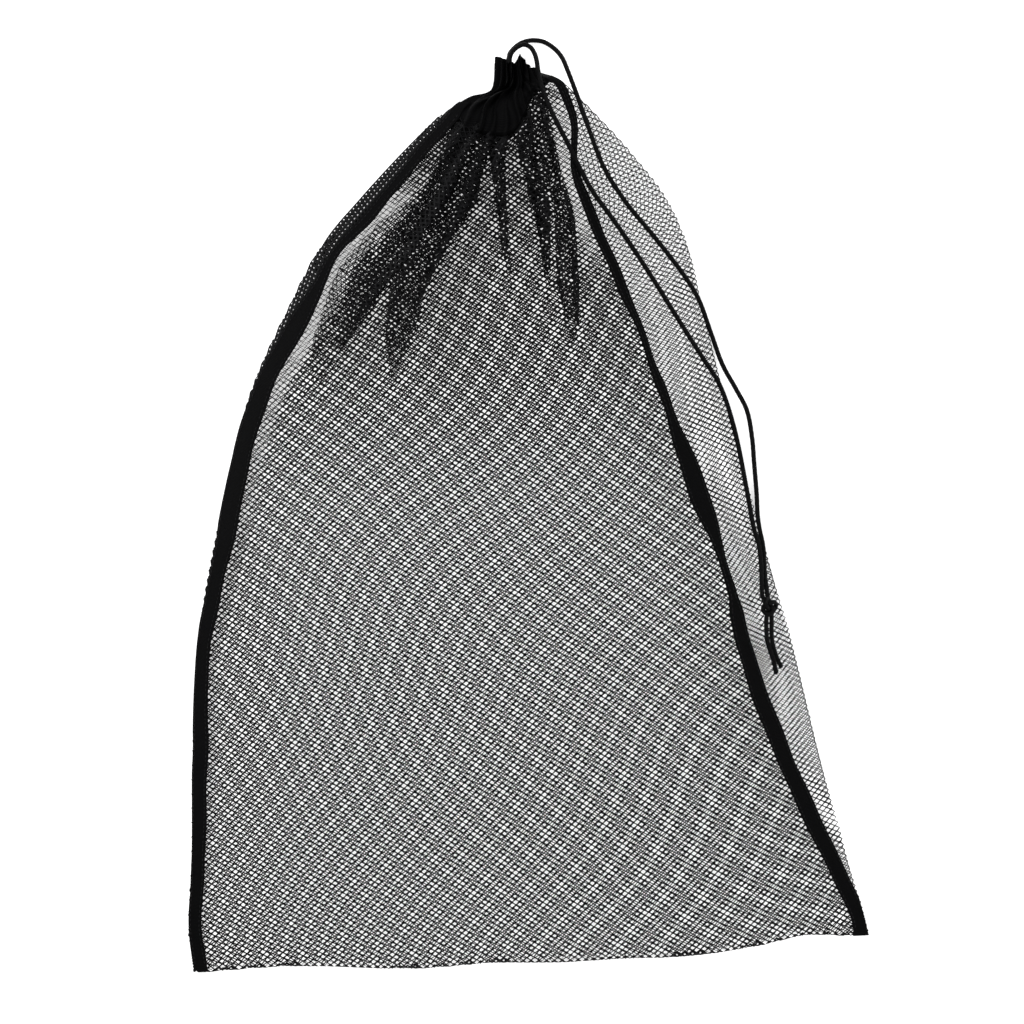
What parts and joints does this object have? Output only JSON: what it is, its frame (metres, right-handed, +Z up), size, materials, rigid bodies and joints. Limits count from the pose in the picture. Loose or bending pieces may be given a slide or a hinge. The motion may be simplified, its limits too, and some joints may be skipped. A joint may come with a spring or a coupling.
{
  "type": "sports equipment bag",
  "caption": "Black netting drawstring bag for sports gear, folded at the bottom, taped along the side seams and gathered at a corded mouth.",
  "frame": {"origin": "bottom centre of the lying bag, on the surface it rests on, without the loose cord", "axes": "+X across the bag to the right as seen from above, +Y from the bottom fold to the mouth, +Z up from the surface"},
  "size_m": [0.5115, 0.7006, 0.0579],
  "materials": {
    "net": "knitted diamond netting, matt",
    "casing": "woven tape, matt",
    "tape": "ribbed woven binding, slight sheen",
    "cord": "braided cord, slight sheen"
  },
  "bodies": {
    "root": {"net_body": "net", "mouth_casing": "casing", "side_tape_left": "tape", "side_tape_right": "tape", "drawstring_outer": "cord", "drawstring_inner": "cord", "drawstring_knot": "cord", "drawstring_tail_outer": "cord", "drawstring_tail_inner": "cord"}
  },
  "joints": []
}
